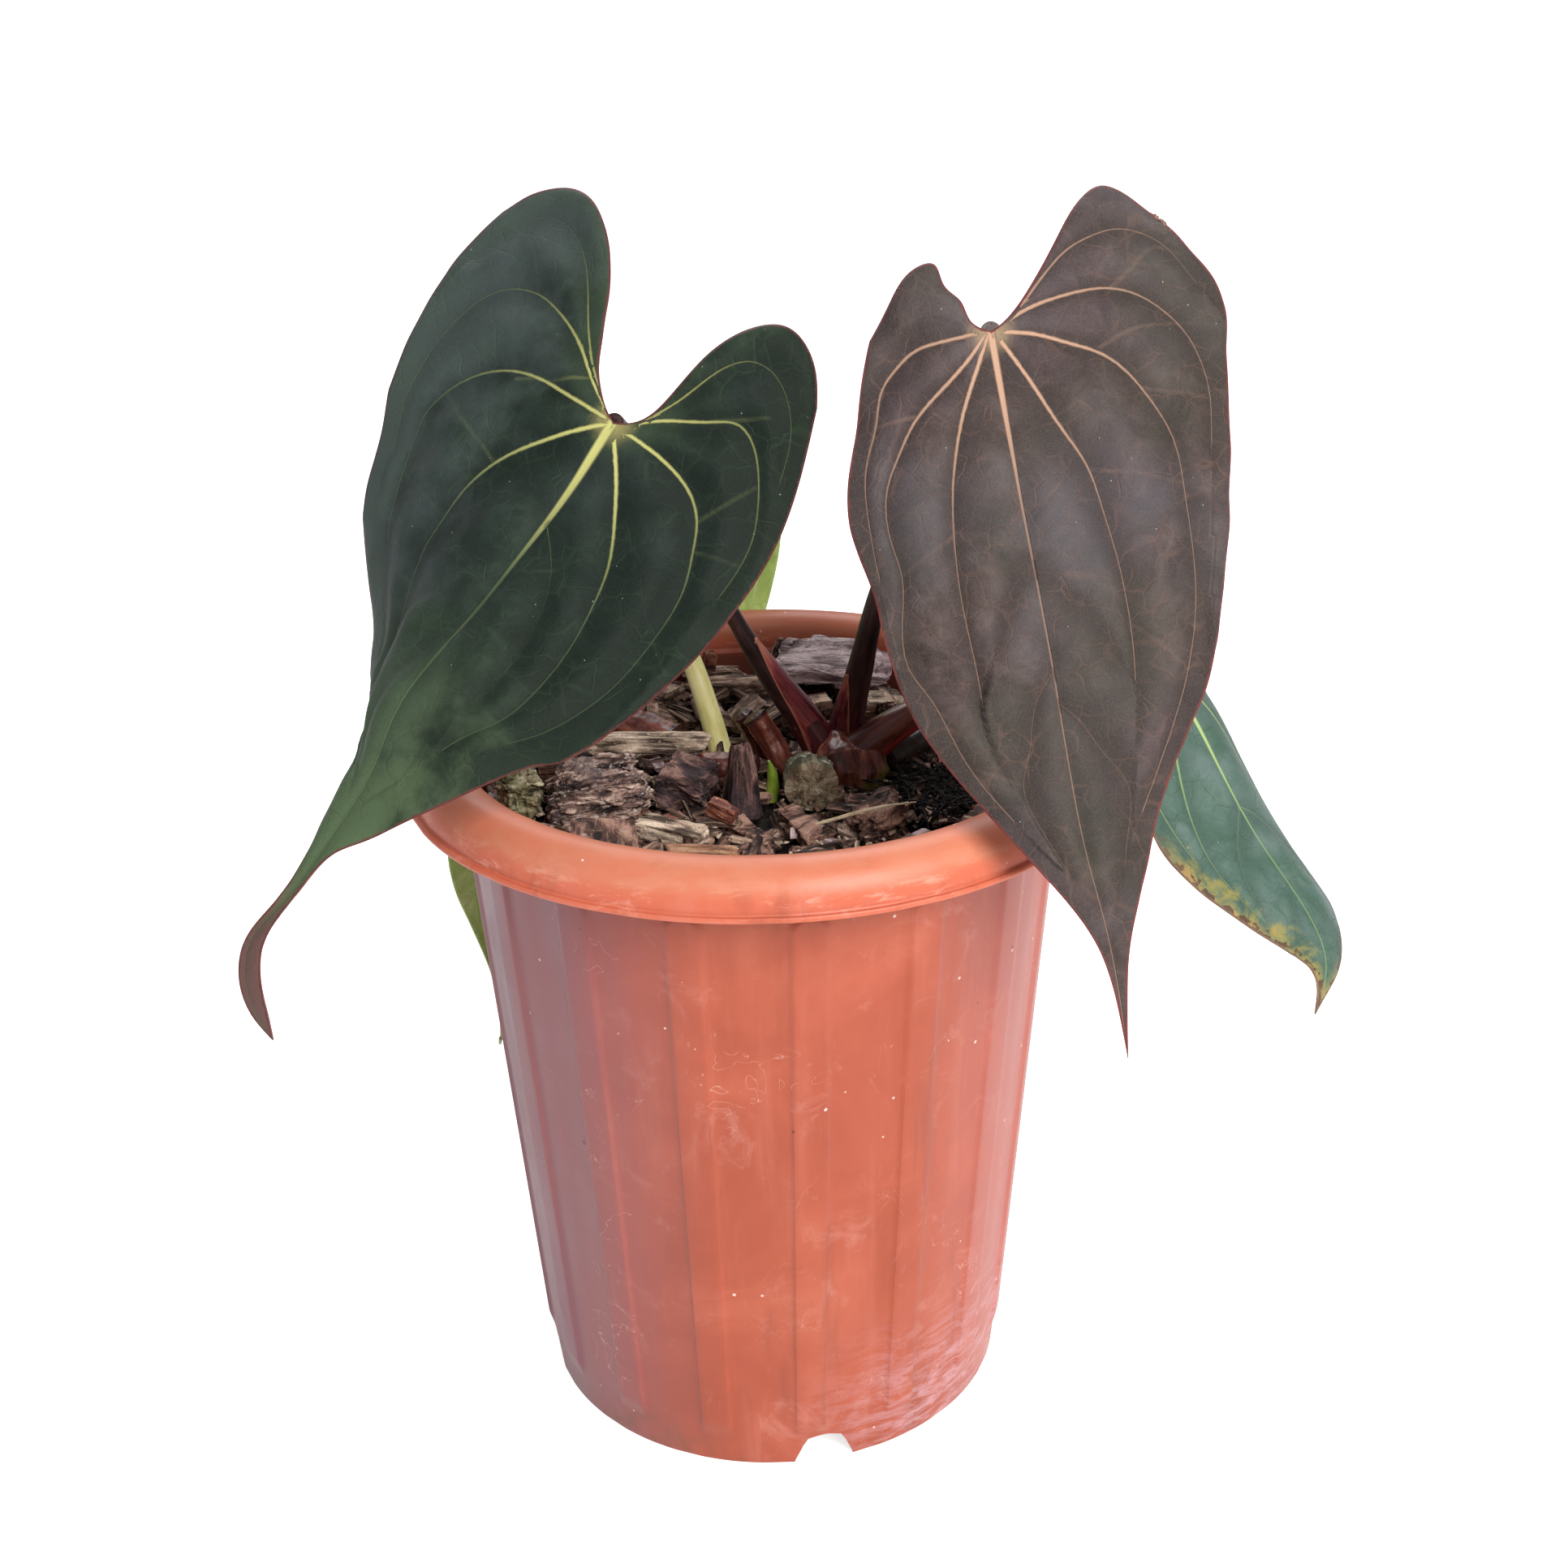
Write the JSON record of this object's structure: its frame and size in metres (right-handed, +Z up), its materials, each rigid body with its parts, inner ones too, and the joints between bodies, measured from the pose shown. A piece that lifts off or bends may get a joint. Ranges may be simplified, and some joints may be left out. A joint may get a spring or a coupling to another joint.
{
  "type": "potted anthurium",
  "caption": "Heart-leaved anthurium with dark velvety blades on slender stems, growing in bark mix in a tapered ribbed nursery pot with a rolled rim.",
  "frame": {"origin": "centre of the pot's foot, on the surface the pot stands on", "axes": "+Z up, -Y towards the front, where the upper sides of the dark and the bronze blade face, +X to the front viewer's right"},
  "size_m": [0.2638, 0.2168, 0.314],
  "materials": {
    "terracotta_plastic": "terracotta coloured moulded plastic, satin, dusty",
    "bark_mix": "damp dark bark, moss and roots",
    "dark_bark": "dark brown bark, fibrous",
    "weathered_wood": "pale weathered wood",
    "grey_bark": "grey brown bark",
    "dry_moss": "dry pale moss and root fibres",
    "roots": "dark fine roots",
    "cut_stem": "red brown old leaf stems, cut",
    "wine_red_skin": "wine red plant skin, satin",
    "dark_stem": "dark purple brown plant skin, satin",
    "yellow_stem": "yellow green plant skin, satin",
    "crown_skin": "brown crown and rhizome skin",
    "green_shoot": "fresh green shoot",
    "dark_green_blade": "velvety very dark green leaf, pale veins",
    "bronze_blade": "velvety bronze leaf, pinkish veins",
    "old_green_blade": "satin blue green older leaf, yellowed edge",
    "yellow_green_blade": "yellowing mottled leaf"
  },
  "bodies": {
    "root": {"pot": "terracotta_plastic", "bark_mix": "bark_mix", "crown": "crown_skin", "dark_leaf_stem": "dark_stem", "bronze_leaf_stem": "dark_stem", "old_leaf_stem": "wine_red_skin", "yellow_leaf_stem": "yellow_stem", "dark_leaf_blade": "dark_green_blade", "bronze_leaf_blade": "bronze_blade", "old_leaf_blade": "old_green_blade", "yellow_leaf_blade": "yellow_green_blade", "bark_block": "weathered_wood", "bark_craggy": "dark_bark", "bark_dark_left": "dark_bark", "bark_front_far": "dark_bark", "bark_front_left": "dark_bark", "bark_front_low": "dark_bark", "bark_front_right": "grey_bark", "bark_layers": "dark_bark", "bark_layers_left": "dark_bark", "bark_left_rear": "dark_bark", "bark_middle_rear": "dark_bark", "bark_rear_left": "grey_bark", "bark_rear_right": "dark_bark", "bark_right_front": "dark_bark", "bark_side_front_right": "dark_bark", "bark_side_right": "dark_bark", "bark_slab": "grey_bark", "bark_spike": "dark_bark", "bronze_stem_bract": "wine_red_skin", "chip_front_left": "dark_bark", "chip_front_right": "dark_bark", "chip_red": "cut_stem", "cut_stem_front": "cut_stem", "cut_stem_rear": "cut_stem", "dark_stem_bract": "wine_red_skin", "fallen_stem_left": "cut_stem", "fallen_stem_middle": "cut_stem", "fallen_stem_right": "dark_stem", "green_shoot": "green_shoot", "moss_clump": "dry_moss", "rhizome_stump": "crown_skin", "root_mat": "roots", "stick_back": "dark_bark", "stick_grey": "weathered_wood", "stick_tan": "weathered_wood", "straw": "weathered_wood", "strip_orange": "cut_stem", "stub_upright": "cut_stem"}
  },
  "joints": []
}
